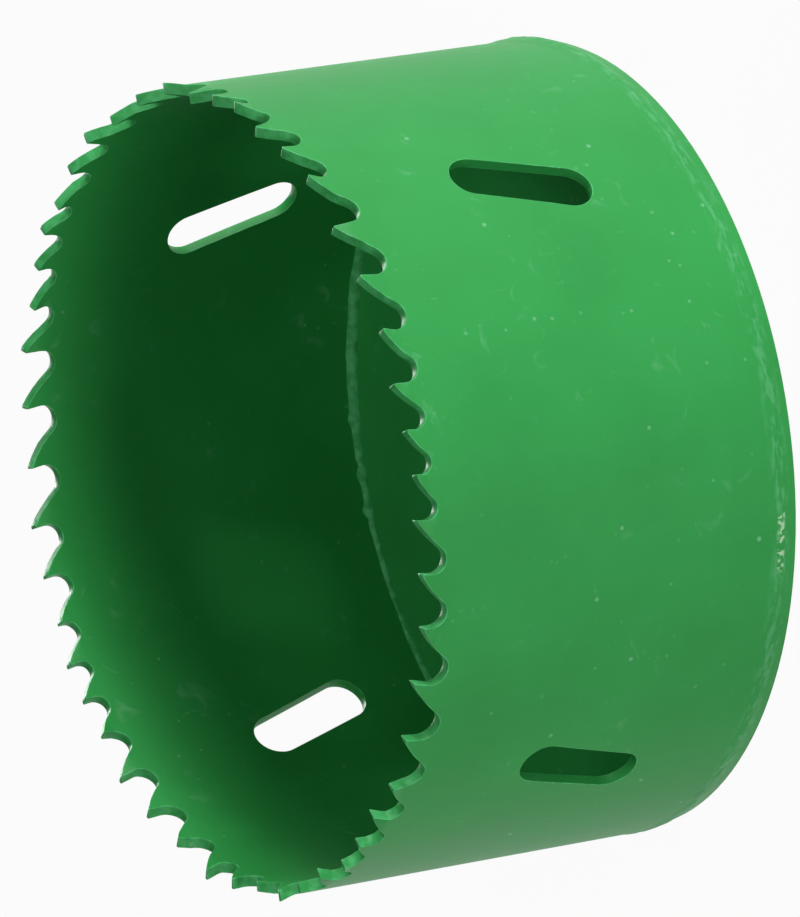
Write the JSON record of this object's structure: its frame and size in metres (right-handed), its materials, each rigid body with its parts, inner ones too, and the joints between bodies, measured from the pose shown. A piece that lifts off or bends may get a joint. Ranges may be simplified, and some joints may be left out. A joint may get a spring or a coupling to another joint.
{
  "type": "hole saw",
  "caption": "Round hole saw: a toothed steel band with slanted clearing slots, welded round a flat base plate with a tapped arbor hole and drive pin holes.",
  "frame": {"origin": "centre of the base plate's outer face, on the saw's axis", "axes": "+Z along the saw's axis from the base plate to the teeth; -Y is the side that faces the picture's camera; seen from the base side the saw turns clockwise to cut"},
  "size_m": [0.0792, 0.0792, 0.0411],
  "materials": {
    "green_enamel": "satin green enamel over steel, with small chips and specks"
  },
  "bodies": {
    "root": {"saw_wall": "green_enamel", "base_plate": "green_enamel", "inner_weld": "green_enamel", "outer_weld": "green_enamel"}
  },
  "joints": []
}
